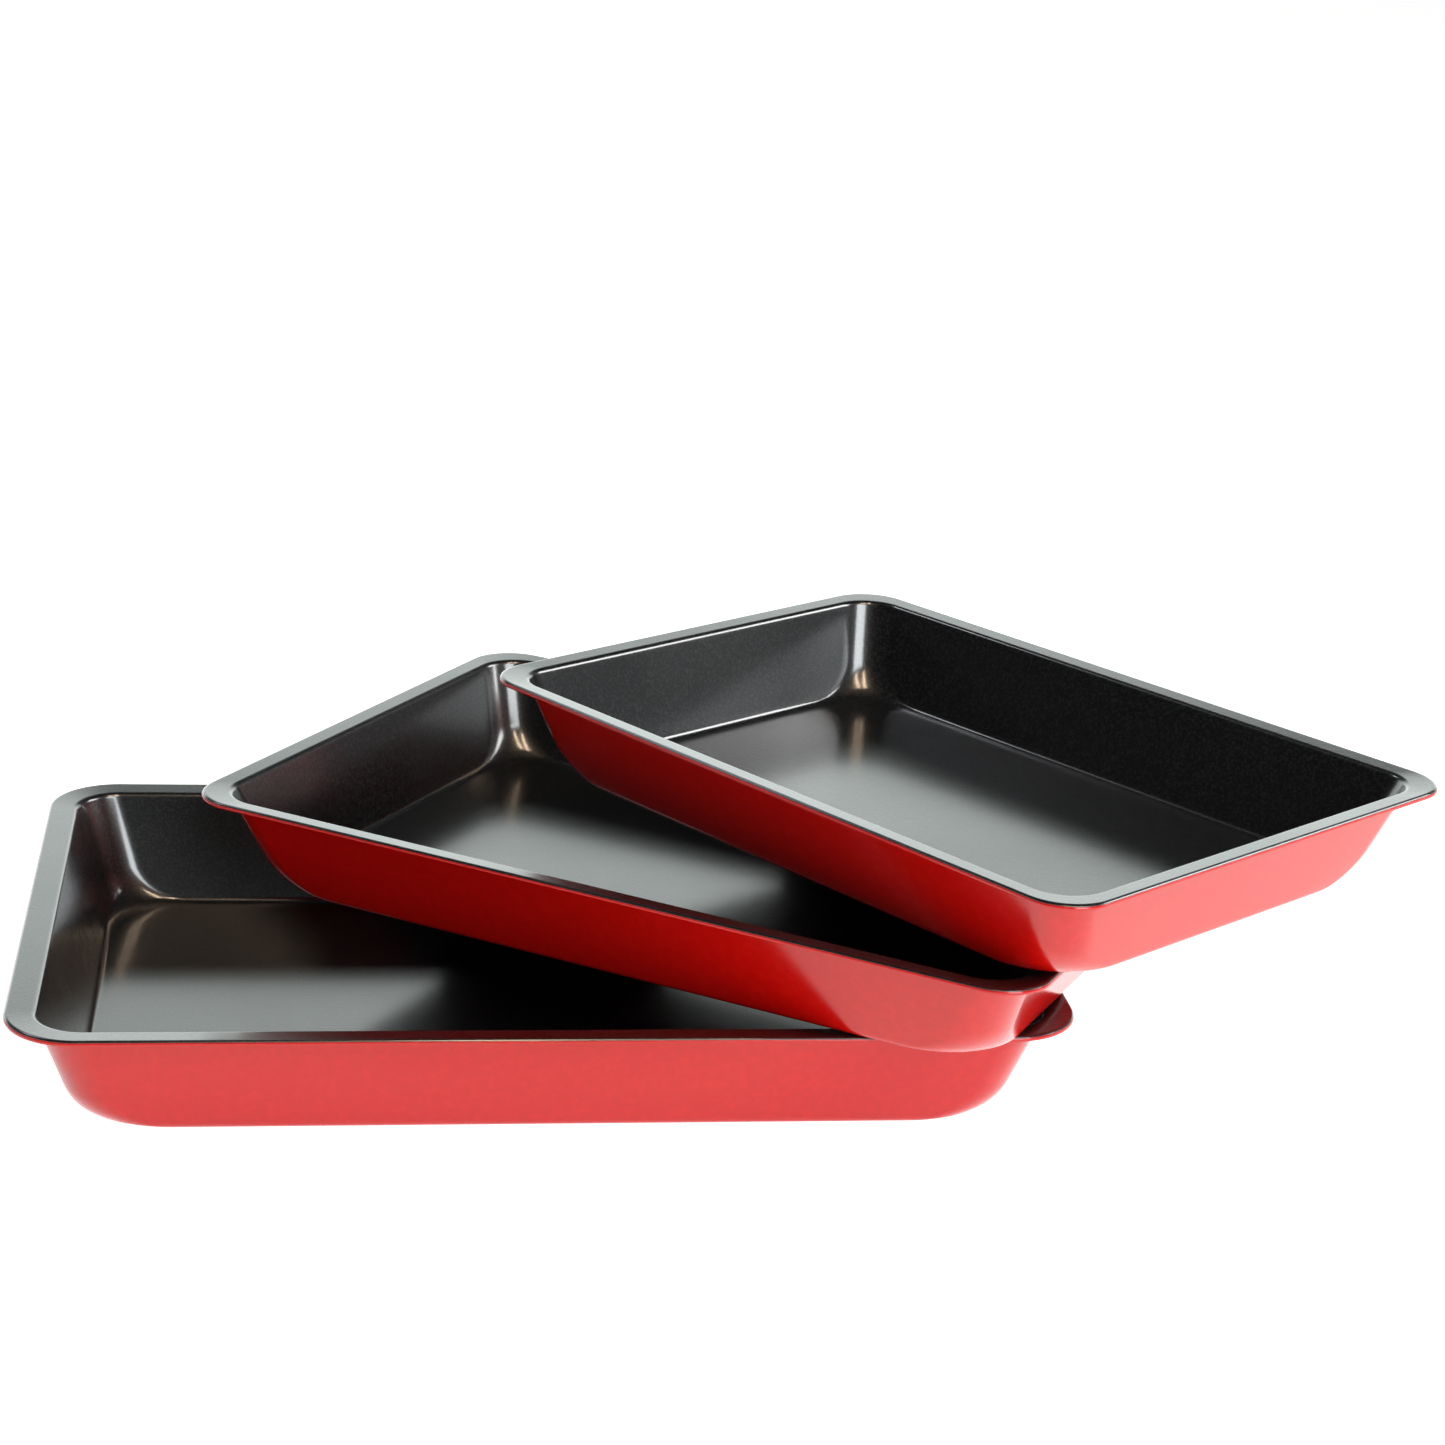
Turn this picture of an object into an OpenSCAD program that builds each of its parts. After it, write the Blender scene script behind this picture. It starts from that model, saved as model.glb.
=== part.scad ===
// A set of three rectangular trays pressed from sheet steel.
// Each tray is one pressing with a lacquer outside and a non-stick coat inside.
// The large tray stands on the bench; the middle tray stands across its rim,
// and the small tray stands across the rim of the middle one, fanned out like a hand of cards.
// Units are millimetres. The origin is the centre of the large tray's underside.

/* [Large tray] */
// Length over the rim
large_length = 400; // [360:2:480]
// Width over the rim
large_width = 272; // [240:2:328]
// Height from the bench to the top of the rim
large_depth = 47; // [38:0.5:56]
// Distance from the rim's outer edge to where it starts to bend down
large_rim = 9.5; // [5:0.5:14]
// Lean of the walls away from upright
large_lean = 17; // [10:0.5:24]
// Outside corner radius of the rim
large_rim_corner = 28; // [20:1:34]
// Corner radius where the wall leaves the rim
large_wall_corner = 18; // [10:1:20]
// Corner radius of the flat floor
large_floor_corner = 40; // [28:1:50]

/* [Middle tray] */
// Length over the rim
middle_length = 362; // [330:1:436]
// Width over the rim
middle_width = 245; // [220:1:294]
// Height from its underside to the top of the rim
middle_depth = 42; // [35:0.5:51]
// Distance from the rim's outer edge to where it starts to bend down
middle_rim = 7.5; // [5:0.5:14]
// Lean of the walls away from upright
middle_lean = 20; // [10:0.5:24]
// Outside corner radius of the rim
middle_rim_corner = 20; // [14:1:34]
// Corner radius where the wall leaves the rim
middle_wall_corner = 17; // [10:1:18]
// Corner radius of the flat floor
middle_floor_corner = 38; // [28:1:48]

/* [Small tray] */
// Length over the rim
small_length = 320; // [280:1:384]
// Width over the rim
small_width = 227; // [200:1:273]
// Height from its underside to the top of the rim
small_depth = 41; // [33:0.5:49]
// Distance from the rim's outer edge to where it starts to bend down
small_rim = 7.5; // [5:0.5:14]
// Lean of the walls away from upright
small_lean = 18.5; // [10:0.5:24]
// Outside corner radius of the rim
small_rim_corner = 19; // [14:1:34]
// Corner radius where the wall leaves the rim
small_wall_corner = 16; // [10:1:17]
// Corner radius of the flat floor
small_floor_corner = 38; // [28:1:46]

/* [Sheet and coats] */
// Thickness of the steel sheet with its outside lacquer
steel = 0.8; // [0.6:0.1:1.2]
// Thickness of the non-stick coat
coat = 0.2; // [0.1:0.05:0.3]
// Radius of the bend between wall and rim, on the coated side
rim_bend = 2.5; // [2.4:0.1:5]
// Radius of the fillet between floor and wall, on the coated side
floor_bend = 3; // [2:0.5:5]
// Radius inside the turned-down outer edge, on the lacquered side
lip_fold = 0.3; // [0.1:0.1:0.8]
// Height of the straight part of the turned-down edge, below its bend
lip_skirt = 0.6; // [0.6:0.2:2.6]
// Rise of the rim towards its outer edge, in degrees
rim_rise = 5; // [0:0.5:8]
// Height over which the corners flare out into the floor
flare = 15; // [12:1:24]

/* [How the trays stand] */
// Middle tray, distance along the large tray
middle_along = 78.5; // [60:1:95]
// Middle tray, distance across the large tray
middle_across = 6; // [-10:1:20]
// Middle tray, turn clockwise from above
middle_turn = 34; // [20:0.5:45]
// Small tray, distance along the large tray
small_along = 165; // [150:1:180]
// Small tray, distance across the large tray
small_across = -23; // [-35:1:0]
// Small tray, turn clockwise from above
small_turn = 54.5; // [45:0.5:65]
// Clearance left where one tray stands on another
rest_gap = 0.3; // [0.2:0.1:0.5]

/* [Hidden] */
corner_steps = 6;
bend_steps = 3;
flare_steps = 5;
// The coat ends on this ring of the outer bend and bare lacquer goes on from there.
coat_end = 2;
ring_size = 4 * (corner_steps + 1);
lacquer_red = [0.72, 0.07, 0.06];
coat_black = [0.07, 0.07, 0.08];
middle_height = large_depth + rest_gap;
small_height = middle_height + middle_depth + rest_gap;

// A tray is described by the list
// [length, width, depth, rim, lean, rim corner, wall corner, floor corner].
large_tray = [large_length, large_width, large_depth, large_rim, large_lean,
    large_rim_corner, large_wall_corner, large_floor_corner];
middle_tray = [middle_length, middle_width, middle_depth, middle_rim, middle_lean,
    middle_rim_corner, middle_wall_corner, middle_floor_corner];
small_tray = [small_length, small_width, small_depth, small_rim, small_lean,
    small_rim_corner, small_wall_corner, small_floor_corner];

// The section of the sheet is measured inwards from the outer edge of the rim and
// upwards from the underside. Sunk is the distance into the sheet from its coated side.
function sheet() = steel + coat;
function lip_bend() = sheet() + lip_fold;
function bend_in(t) = t[3];
function flat_run(t) = t[3] + (rim_bend - lip_bend()) * sin(rim_rise) - lip_bend();
function bend_up(t) = t[2] - lip_bend() - (rim_bend - lip_bend()) * cos(rim_rise)
    - flat_run(t) * tan(rim_rise);
function fillet_up() = sheet() + floor_bend;
function fillet_in(t) = bend_in(t)
    + (rim_bend + floor_bend + (bend_up(t) - fillet_up()) * sin(t[4])) / cos(t[4]);
function wall_in(t, up, sunk) = fillet_in(t) - (floor_bend + sunk) * cos(t[4])
    - (up - fillet_up() + (floor_bend + sunk) * sin(t[4])) * tan(t[4]);
// Share of the floor corner radius left at a height above the floor.
function flare_share(rise) = rise >= flare ? 0
    : 1 - sqrt(1 - pow(1 - max(rise, 0) / flare, 2));
function corner_at(t, rise) = t[6] + (t[7] - t[6]) * flare_share(rise);
// Rim corner radius at a distance in from the outer edge.
function wall_top_corner(t) = t[6] + rim_bend * cos(t[4]);
function rim_corner_at(t, inward) = t[5] + (wall_top_corner(t) - t[5]) * inward / t[3];

// Rings of the section: [distance in, height, corner radius].
function fillet_rings(t, sunk) = [for (k = [0 : bend_steps])
    let (a = k * (90 - t[4]) / bend_steps,
        rise = floor_bend * (1 - cos(a)))
    [fillet_in(t) - (floor_bend + sunk) * sin(a), fillet_up() - (floor_bend + sunk) * cos(a),
        corner_at(t, rise) + sunk * sin(a)]];
function flare_start() = acos(1 - floor_bend / flare);
function flare_rings(t, sunk) = [for (k = [1 : flare_steps])
    let (a = flare_start() + k * (90 - flare_start()) / flare_steps,
        rise = flare * (1 - cos(a)),
        up = sheet() + rise - sunk * sin(t[4]))
    [wall_in(t, up, sunk), up, corner_at(t, rise) + sunk * cos(t[4])]];
function bend_rings(t, sunk) = [for (k = [0 : bend_steps])
    let (a = t[4] + k * (90 - rim_rise - t[4]) / bend_steps)
    [bend_in(t) + (rim_bend - sunk) * cos(a), bend_up(t) + (rim_bend - sunk) * sin(a),
        wall_top_corner(t) - (rim_bend - sunk) * cos(a)]];
function lip_rings(t, sunk, first, last) = [for (k = [first : last])
    let (a = -rim_rise + k * (90 + rim_rise) / bend_steps,
        inward = lip_bend() - (lip_bend() - sunk) * sin(a))
    [inward, t[2] - lip_bend() + (lip_bend() - sunk) * cos(a), rim_corner_at(t, inward)]];
function coated_rings(t, sunk) = concat(fillet_rings(t, sunk), flare_rings(t, sunk),
    bend_rings(t, sunk), lip_rings(t, sunk, 0, coat_end));
function bare_rings(t) = lip_rings(t, 0, coat_end, bend_steps);
function under_rings(t) = concat(coated_rings(t, sheet()),
    lip_rings(t, sheet(), coat_end + 1, bend_steps));
function edge_ring(t, sunk) = [sunk, t[2] - lip_bend() - lip_skirt, rim_corner_at(t, sunk)];
function backwards(list) = [for (k = [len(list) - 1 : -1 : 0]) list[k]];

// One ring of points around the tray.
function ring_points(t, ring) = [for (q = [0 : 3], k = [0 : corner_steps])
    let (a = 90 * q + 90 * k / corner_steps,
        half_x = t[0] / 2 - ring[0] - ring[2],
        half_y = t[1] / 2 - ring[0] - ring[2],
        side_x = q == 0 || q == 3 ? 1 : -1,
        side_y = q < 2 ? 1 : -1)
    [side_x * half_x + ring[2] * cos(a), side_y * half_y + ring[2] * sin(a), ring[1]]];

// Skin stretched over a run of rings, closed by the first and the last.
module skin(t, rings) {
    points = [for (r = rings, p = ring_points(t, r)) p];
    last = len(rings) - 1;
    walls = [for (i = [0 : last - 1], j = [0 : ring_size - 1])
        let (n = (j + 1) % ring_size, a = i * ring_size, b = a + ring_size)
        each [[a + j, a + n, b + n], [a + j, b + n, b + j]]];
    first_cap = [for (j = [ring_size - 1 : -1 : 0]) j];
    last_cap = [for (j = [0 : ring_size - 1]) last * ring_size + j];
    polyhedron(points, concat([first_cap], walls, [last_cap]));
}

// Pressed steel body: floor, leaning walls, rising rim and turned-down edge in one sheet.
module steel_body(t) {
    color(lacquer_red)
        skin(t, concat(coated_rings(t, coat), bare_rings(t),
            [edge_ring(t, 0), edge_ring(t, sheet())], backwards(under_rings(t))));
}

// Non-stick coat over the floor, the walls and the rim, ending part-way round the outer bend.
module nonstick_coat(t) {
    color(coat_black)
        skin(t, concat(coated_rings(t, 0), backwards(coated_rings(t, coat))));
}

module stand_middle() {
    translate([middle_along, middle_across, middle_height])
        rotate([0, 0, -middle_turn])
            children();
}

module stand_small() {
    translate([small_along, small_across, small_height])
        rotate([0, 0, -small_turn])
            children();
}

module large_steel() {
    steel_body(large_tray);
}

module large_nonstick() {
    nonstick_coat(large_tray);
}

module middle_steel() {
    stand_middle() steel_body(middle_tray);
}

module middle_nonstick() {
    stand_middle() nonstick_coat(middle_tray);
}

module small_steel() {
    stand_small() steel_body(small_tray);
}

module small_nonstick() {
    stand_small() nonstick_coat(small_tray);
}

large_steel();
large_nonstick();
middle_steel();
middle_nonstick();
small_steel();
small_nonstick();
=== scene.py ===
import math

import bpy
from mathutils import Matrix, Vector


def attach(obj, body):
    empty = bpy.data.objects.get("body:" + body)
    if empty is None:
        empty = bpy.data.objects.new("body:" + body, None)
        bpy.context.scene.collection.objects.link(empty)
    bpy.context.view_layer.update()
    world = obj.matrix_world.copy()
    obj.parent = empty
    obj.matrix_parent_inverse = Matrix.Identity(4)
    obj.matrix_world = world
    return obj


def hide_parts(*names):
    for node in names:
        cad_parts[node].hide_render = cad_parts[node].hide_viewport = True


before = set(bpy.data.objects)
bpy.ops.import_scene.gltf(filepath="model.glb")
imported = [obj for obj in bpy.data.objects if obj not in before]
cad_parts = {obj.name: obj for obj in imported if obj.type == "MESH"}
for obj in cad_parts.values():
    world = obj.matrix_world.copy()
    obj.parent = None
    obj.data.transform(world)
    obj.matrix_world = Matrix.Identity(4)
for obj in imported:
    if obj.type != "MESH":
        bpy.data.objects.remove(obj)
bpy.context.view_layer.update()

# ---- Camera ---------------------------------------------------------------
# A long lens a metre and a half away, looking down at the set from the front
# and from a touch to its left, held slightly off level; distances in metres.
camera_data = bpy.data.cameras.new("camera")
camera = bpy.data.objects.new("camera", camera_data)
bpy.context.scene.collection.objects.link(camera)
bpy.context.scene.camera = camera
camera_data.lens = 76.26
camera_data.clip_start = 0.05
camera_data.clip_end = 60.0
camera_turn = math.radians(-8.32)
camera_tip = math.radians(18.54)
camera_roll = math.radians(3.17)
aim_point = Vector((0.1108, 0.2470, 0.040))
camera_distance = 1.4941
look = Vector((-math.sin(camera_turn) * math.cos(camera_tip),
               math.cos(camera_turn) * math.cos(camera_tip),
               -math.sin(camera_tip)))
level_side = look.cross(Vector((0, 0, 1))).normalized()
level_up = level_side.cross(look)
side = level_side * math.cos(camera_roll) + level_up * math.sin(camera_roll)
up = level_up * math.cos(camera_roll) - level_side * math.sin(camera_roll)
camera.matrix_world = Matrix.Translation(aim_point - look * camera_distance) @ Matrix(
    (side, up, -look)).transposed().to_4x4()

# ---- Large tray -----------------------------------------------------------
# One pressing of steel sheet with leaning walls, a rising rim and a turned-down
# edge, sizes in millimetres. It is lacquered red outside; a black non-stick coat
# covers the inside and the rim and ends part-way round the outer bend.
steel = 0.8
coat = 0.2
rim_bend = 2.5
floor_bend = 3.0
lip_fold = 0.3
lip_skirt = 0.6
rim_rise = math.radians(5)
flare = 15.0
lip_steps = 9
bare_steps = 3
sheet = steel + coat
lip_bend = sheet + lip_fold

large = dict(name="large", length=400.0, width=272.0, depth=47.0, rim=9.5, lean=17.0,
             rim_corner=28.0, wall_corner=18.0, floor_corner=40.0,
             stand=(0.0, 0.0, 0.0), turn=0.0)


def tray_section(tray, sunk):
    """Rings of a tray's section, from the middle of the floor to the turned edge.

    Each ring is (distance in from the outer edge, height, corner radius); sunk
    is how far the face lies below the coated side, all in millimetres.
    """
    lean = math.radians(tray["lean"])
    depth, rim = tray["depth"], tray["rim"]
    fillet_up = sheet + floor_bend
    flat_run = rim + (rim_bend - lip_bend) * math.sin(rim_rise) - lip_bend
    bend_up = (depth - lip_bend - (rim_bend - lip_bend) * math.cos(rim_rise)
               - flat_run * math.tan(rim_rise))
    fillet_in = rim + (rim_bend + floor_bend
                       + (bend_up - fillet_up) * math.sin(lean)) / math.cos(lean)
    wall_top_corner = tray["wall_corner"] + rim_bend * math.cos(lean)

    def corner_at(rise):
        if rise >= flare:
            return tray["wall_corner"]
        left = 1 - math.sqrt(1 - (1 - max(rise, 0.0) / flare) ** 2)
        return tray["wall_corner"] + (tray["floor_corner"] - tray["wall_corner"]) * left

    def rim_corner_at(inward):
        return tray["rim_corner"] + (wall_top_corner - tray["rim_corner"]) * inward / rim

    rings = []
    half_short = tray["width"] / 2 - fillet_in
    floor_shares = (0.12, 0.3, 0.5, 0.7, 0.85, 0.93, 0.97, 0.99)
    least_corner = 2.0
    for share in floor_shares:
        inward = fillet_in + half_short * (1 - share)
        rings.append((inward, sheet - sunk, max(tray["floor_corner"] * share, least_corner)))
    bend_steps = 8
    for k in range(bend_steps + 1):
        a = k * (math.pi / 2 - lean) / bend_steps
        rise = floor_bend * (1 - math.cos(a))
        rings.append((fillet_in - (floor_bend + sunk) * math.sin(a),
                      fillet_up - (floor_bend + sunk) * math.cos(a),
                      corner_at(rise) + sunk * math.sin(a)))
    start = math.acos(1 - floor_bend / flare)
    flare_steps = 14
    for k in range(1, flare_steps + 1):
        a = start + k * (math.pi / 2 - start) / flare_steps
        rise = flare * (1 - math.cos(a))
        level = sheet + rise - sunk * math.sin(lean)
        climbed = level - fillet_up + (floor_bend + sunk) * math.sin(lean)
        inward = (fillet_in - (floor_bend + sunk) * math.cos(lean)
                  - climbed * math.tan(lean))
        rings.append((inward, level, corner_at(rise) + sunk * math.cos(lean)))
    wall_top = bend_up + (rim_bend - sunk) * math.sin(lean)
    last = rings[-1]
    top = (rim + (rim_bend - sunk) * math.cos(lean), wall_top,
           wall_top_corner - (rim_bend - sunk) * math.cos(lean))
    wall_shares = (0.35, 0.7, 0.95)
    for share in wall_shares:
        rings.append(tuple(p + (q - p) * share for p, q in zip(last, top)))
    for k in range(bend_steps + 1):
        a = lean + k * (math.pi / 2 - rim_rise - lean) / bend_steps
        rings.append((rim + (rim_bend - sunk) * math.cos(a),
                      bend_up + (rim_bend - sunk) * math.sin(a),
                      wall_top_corner - (rim_bend - sunk) * math.cos(a)))
    flat_start = rim + (rim_bend - sunk) * math.sin(rim_rise)
    flat_up = bend_up + (rim_bend - sunk) * math.cos(rim_rise)
    rim_shares = (0.06, 0.5, 0.94)
    for share in rim_shares:
        inward = flat_start - flat_run * share
        rings.append((inward, flat_up + flat_run * share * math.tan(rim_rise),
                      rim_corner_at(inward)))
    for k in range(lip_steps + 1):
        a = -rim_rise + k * (math.pi / 2 + rim_rise) / lip_steps
        inward = lip_bend - (lip_bend - sunk) * math.sin(a)
        rings.append((inward, depth - lip_bend + (lip_bend - sunk) * math.cos(a),
                      rim_corner_at(inward)))
    return rings


def tray_ring_points(tray, ring):
    """Points round the tray at one ring, in metres, where the tray stands."""
    inward, level, corner = ring
    corner_steps, side_steps = 20, 6
    turn = math.radians(-tray["turn"])
    half_x = tray["length"] / 2 - inward - corner
    half_y = tray["width"] / 2 - inward - corner
    centres = [(half_x, half_y), (-half_x, half_y), (-half_x, -half_y), (half_x, -half_y)]
    flat = []
    for quarter, (cx, cy) in enumerate(centres):
        for k in range(corner_steps + 1):
            a = math.radians(90 * quarter + 90 * k / corner_steps)
            flat.append((cx + corner * math.cos(a), cy + corner * math.sin(a)))
        nx, ny = centres[(quarter + 1) % 4]
        a = math.radians(90 * (quarter + 1))
        here = flat[-1]
        there = (nx + corner * math.cos(a), ny + corner * math.sin(a))
        for k in range(1, side_steps):
            share = k / side_steps
            flat.append((here[0] + (there[0] - here[0]) * share,
                         here[1] + (there[1] - here[1]) * share))
    sx, sy, sz = tray["stand"]
    mm_per_metre = 1000
    return [((sx + x * math.cos(turn) - y * math.sin(turn)) / mm_per_metre,
             (sy + x * math.sin(turn) + y * math.cos(turn)) / mm_per_metre,
             (sz + level) / mm_per_metre) for x, y in flat]


def tray_skin(name, tray, rings):
    """A closed smooth mesh stretched over a run of rings."""
    loops = [tray_ring_points(tray, r) for r in rings]
    count = len(loops[0])
    points = [p for loop in loops for p in loop]
    faces = [tuple(range(count))]
    for i in range(len(loops) - 1):
        a, b = i * count, (i + 1) * count
        for j in range(count):
            n = (j + 1) % count
            faces.append((a + j, b + j, b + n, a + n))
    last = (len(loops) - 1) * count
    faces.append(tuple(last + j for j in range(count - 1, -1, -1)))
    mesh = bpy.data.meshes.new(name)
    mesh.from_pydata(points, [], faces)
    mesh.validate()
    for polygon in mesh.polygons:
        polygon.use_smooth = True
    mesh.update()
    obj = bpy.data.objects.new(name, mesh)
    bpy.context.scene.collection.objects.link(obj)
    return obj


def node(tree, kind, place, **values):
    """A shader node at a place on the sheet, with its plain sockets set."""
    made = tree.nodes.new(kind)
    made.location = place
    for key, value in values.items():
        made.inputs[key.replace("_", " ")].default_value = value
    return made


def pressed_finish(name, dark, light, gloss, smudge, grain_size, grain, draw_lines):
    """A coating on pressed sheet: mottled grain, lines left by the press, smudges.

    Dark and light are the two mottled colours, gloss and smudge the lowest and
    highest roughness, and grain_size is in millimetres.
    """
    relief_depth = 0.0002
    lines_along, lines_up = 5.0, 900.0
    mottle_from, mottle_to = 0.47, 0.64
    material = bpy.data.materials.new(name)
    material.use_nodes = True
    tree = material.node_tree
    shader = tree.nodes["Principled BSDF"]
    place = node(tree, "ShaderNodeTexCoord", (-1100, 0))
    haze = node(tree, "ShaderNodeTexNoise", (-900, 200), Scale=11.0, Detail=4.0)
    spread = node(tree, "ShaderNodeMapRange", (-600, 200), From_Min=0.3, From_Max=0.7,
                  To_Min=gloss, To_Max=smudge)
    spread.interpolation_type = "SMOOTHERSTEP"
    tree.links.new(place.outputs["Object"], haze.inputs["Vector"])
    tree.links.new(haze.outputs["Fac"], spread.inputs["Value"])
    tree.links.new(spread.outputs["Result"], shader.inputs["Roughness"])
    squeeze = node(tree, "ShaderNodeMapping", (-900, -150),
                   Scale=(lines_along, lines_along, lines_up))
    lines = node(tree, "ShaderNodeTexNoise", (-700, -150), Scale=1.0, Detail=3.0)
    line_relief = node(tree, "ShaderNodeBump", (-450, -150), Strength=draw_lines,
                       Distance=relief_depth)
    tree.links.new(place.outputs["Object"], squeeze.inputs["Vector"])
    tree.links.new(squeeze.outputs["Vector"], lines.inputs["Vector"])
    tree.links.new(lines.outputs["Fac"], line_relief.inputs["Height"])
    speckle = node(tree, "ShaderNodeTexNoise", (-700, -400), Scale=1000.0 / grain_size,
                   Detail=2.0)
    relief = node(tree, "ShaderNodeBump", (-250, -300), Strength=grain,
                  Distance=relief_depth)
    mottle = node(tree, "ShaderNodeValToRGB", (-450, 450))
    mottle.color_ramp.elements[0].position = mottle_from
    mottle.color_ramp.elements[0].color = (*dark, 1)
    mottle.color_ramp.elements[1].position = mottle_to
    mottle.color_ramp.elements[1].color = (*light, 1)
    tree.links.new(place.outputs["Object"], speckle.inputs["Vector"])
    tree.links.new(speckle.outputs["Fac"], relief.inputs["Height"])
    tree.links.new(speckle.outputs["Fac"], mottle.inputs["Fac"])
    tree.links.new(mottle.outputs["Color"], shader.inputs["Base Color"])
    tree.links.new(line_relief.outputs["Normal"], relief.inputs["Normal"])
    tree.links.new(relief.outputs["Normal"], shader.inputs["Normal"])
    return material


# Red stoving lacquer: a deep clear red with a glossy, very slightly uneven skin.
red_lacquer = pressed_finish(
    "red_lacquer", dark=(0.355, 0.002, 0.0012), light=(0.385, 0.003, 0.0016),
    gloss=0.11, smudge=0.18, grain_size=3.5, grain=0.05, draw_lines=0.1)
red_lacquer.node_tree.nodes["Principled BSDF"].inputs["IOR"].default_value = 1.48

# Black non-stick coat: nearly black, mottled with a fine sprayed grain under a
# satin skin.
black_nonstick = pressed_finish(
    "black_nonstick", dark=(0.0006, 0.0007, 0.0008), light=(0.0110, 0.0125, 0.0140),
    gloss=0.30, smudge=0.38, grain_size=1.1, grain=0.4, draw_lines=0.08)
coat_shader = black_nonstick.node_tree.nodes["Principled BSDF"]
coat_shader.inputs["IOR"].default_value = 1.4
coat_shader.inputs["Coat Weight"].default_value = 1.0
coat_shader.inputs["Coat Roughness"].default_value = 0.155
coat_shader.inputs["Coat IOR"].default_value = 1.65


def lay_tray(tray, body):
    """The steel pressing and the coat of one tray, each riding the tray's body."""
    upper, lower = tray_section(tray, coat), tray_section(tray, sheet)
    edge_up = tray["depth"] - lip_bend - lip_skirt
    edge = [(0.0, edge_up, tray["rim_corner"]), (sheet, edge_up, tray["rim_corner"])]
    outer = tray_section(tray, 0.0)
    # The coat ends on this ring and bare lacquer goes on from there.
    coated = len(outer) - bare_steps
    steel_piece = tray_skin(tray["name"] + "_tray_steel", tray,
                            upper[:coated] + outer[coated - 1:] + edge + lower[::-1])
    steel_piece.data.materials.append(red_lacquer)
    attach(steel_piece, body)
    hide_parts(tray["name"] + "_steel")
    coat_piece = tray_skin(tray["name"] + "_tray_nonstick", tray,
                           outer[:coated] + upper[:coated][::-1])
    coat_piece.data.materials.append(black_nonstick)
    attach(coat_piece, body)
    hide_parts(tray["name"] + "_nonstick")


lay_tray(large, "large_tray")

# ---- Middle tray ----------------------------------------------------------
# The next size down, pressed and coated in the same way. It stands level
# across the large tray's rim, swung round over that tray's right-hand end.
rest_gap = 0.3
middle = dict(name="middle", length=362.0, width=245.0, depth=42.0, rim=7.5, lean=20.0,
              rim_corner=20.0, wall_corner=17.0, floor_corner=38.0,
              stand=(78.5, 6.0, large["depth"] + rest_gap), turn=34.0)
lay_tray(middle, "middle_tray")

# ---- Small tray -----------------------------------------------------------
# The smallest of the set, again one coated pressing. It stands level across
# the middle tray's rim, swung round further the same way.
small = dict(name="small", length=320.0, width=227.0, depth=41.0, rim=7.5, lean=18.5,
             rim_corner=19.0, wall_corner=16.0, floor_corner=38.0,
             stand=(165.0, -23.0, middle["stand"][2] + middle["depth"] + rest_gap), turn=54.5)
lay_tray(small, "small_tray")

# ---- Bench and studio light ----------------------------------------------
# A white light-table bench, broad panels behind, a tall softbox at front right,
# a softbox and a weak fill at the right, a small softbox high at the back left,
# two warm tubes above the front, and a dim room.
bench_mesh = bpy.data.meshes.new("bench_top")
reach = 40.0
drop = 0.0002
bench_mesh.from_pydata([(-reach, -reach, -drop), (reach, -reach, -drop),
                        (reach, reach, -drop), (-reach, reach, -drop)],
                       [], [(0, 1, 2, 3)])
bench = bpy.data.objects.new("bench_top", bench_mesh)
bpy.context.scene.collection.objects.link(bench)
white = bpy.data.materials.new("white_bench")
white.use_nodes = True
bench_shader = white.node_tree.nodes["Principled BSDF"]
bench_shader.inputs["Base Color"].default_value = (0.86, 0.86, 0.86, 1)
bench_shader.inputs["Roughness"].default_value = 0.9
bench_shader.inputs["Specular IOR Level"].default_value = 0.0
bench_shader.inputs["Emission Color"].default_value = (1, 1, 1, 1)
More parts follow.
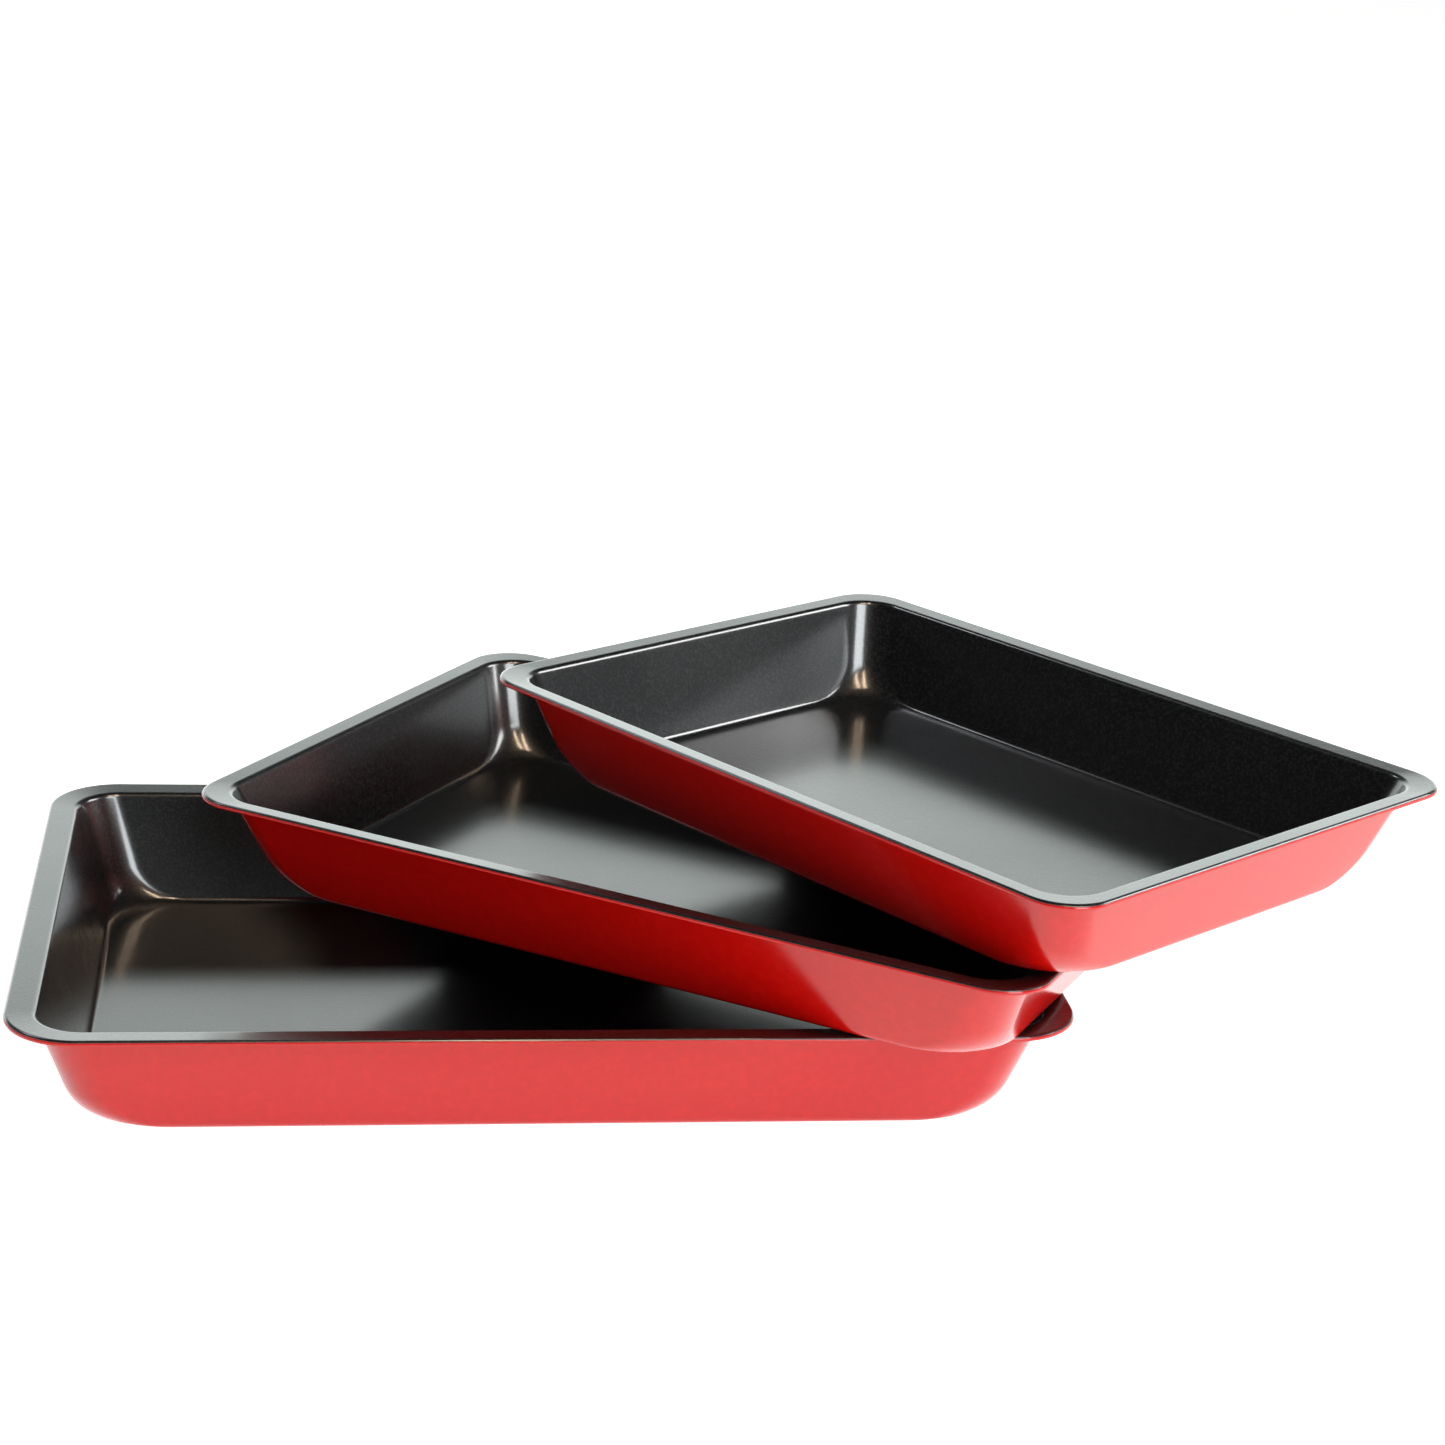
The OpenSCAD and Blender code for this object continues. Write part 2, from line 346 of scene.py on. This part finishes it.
bench_shader.inputs["Emission Strength"].default_value = 0.93
bench.data.materials.append(white)


def panel(name, where, towards, wide, high, power, colour=(1, 1, 1)):
    """A flat softbox that faces a point."""
    lamp = bpy.data.lights.new(name, "AREA")
    lamp.shape = "RECTANGLE"
    lamp.size, lamp.size_y, lamp.energy, lamp.color = wide, high, power, colour
    lamp_object = bpy.data.objects.new(name, lamp)
    bpy.context.scene.collection.objects.link(lamp_object)
    lamp_object.location = where
    aim = Vector(towards) - Vector(where)
    lamp_object.rotation_euler = aim.to_track_quat("-Z", "Y").to_euler()
    lamp_object.visible_camera = False


panel("back_panel", (0.0, 4.2, 1.1), (0.0, 0.0, 1.1),
      wide=9.0, high=2.2, power=104.0, colour=(0.92, 1.0, 0.975))
panel("low_back_panel", (0.0, 4.0, 0.35), (0.0, 0.0, 0.35),
      wide=9.0, high=0.7, power=10.0, colour=(0.92, 1.0, 1.0))
panel("tall_softbox", (0.95, -2.05, 1.0), (0.1, 0.1, 0.1),
      wide=1.1, high=1.9, power=64.0, colour=(0.93, 0.98, 1.0))
panel("right_softbox", (2.15, -0.05, 1.35), (0.1, 0.0, 0.1),
      wide=1.2, high=0.8, power=36.0)
panel("right_fill", (3.0, -0.4, 0.8), (0.0, 0.0, 0.2),
      wide=3.6, high=1.6, power=1.5, colour=(0.85, 0.92, 1.0))
panel("left_softbox", (-1.1, 1.3, 1.95), (0.1, 0.0, 0.1),
      wide=0.5, high=0.4, power=4.5, colour=(0.9, 0.93, 1.0))
for lamp_name, lamp_along in (("warm_tube_left", 0.12), ("warm_tube_right", 0.62)):
    panel(lamp_name, (lamp_along, -0.85, 2.0), (0.1, 0.1, 0.1),
          wide=0.14, high=1.0, power=10.0, colour=(1.0, 0.74, 0.52))
world = bpy.data.worlds.new("room")
bpy.context.scene.world = world
world.use_nodes = True
room_light = world.node_tree.nodes["Background"]
room_light.inputs["Color"].default_value = (1, 1, 1, 1)
room_light.inputs["Strength"].default_value = 0.04
bpy.context.scene.view_settings.view_transform = "Standard"
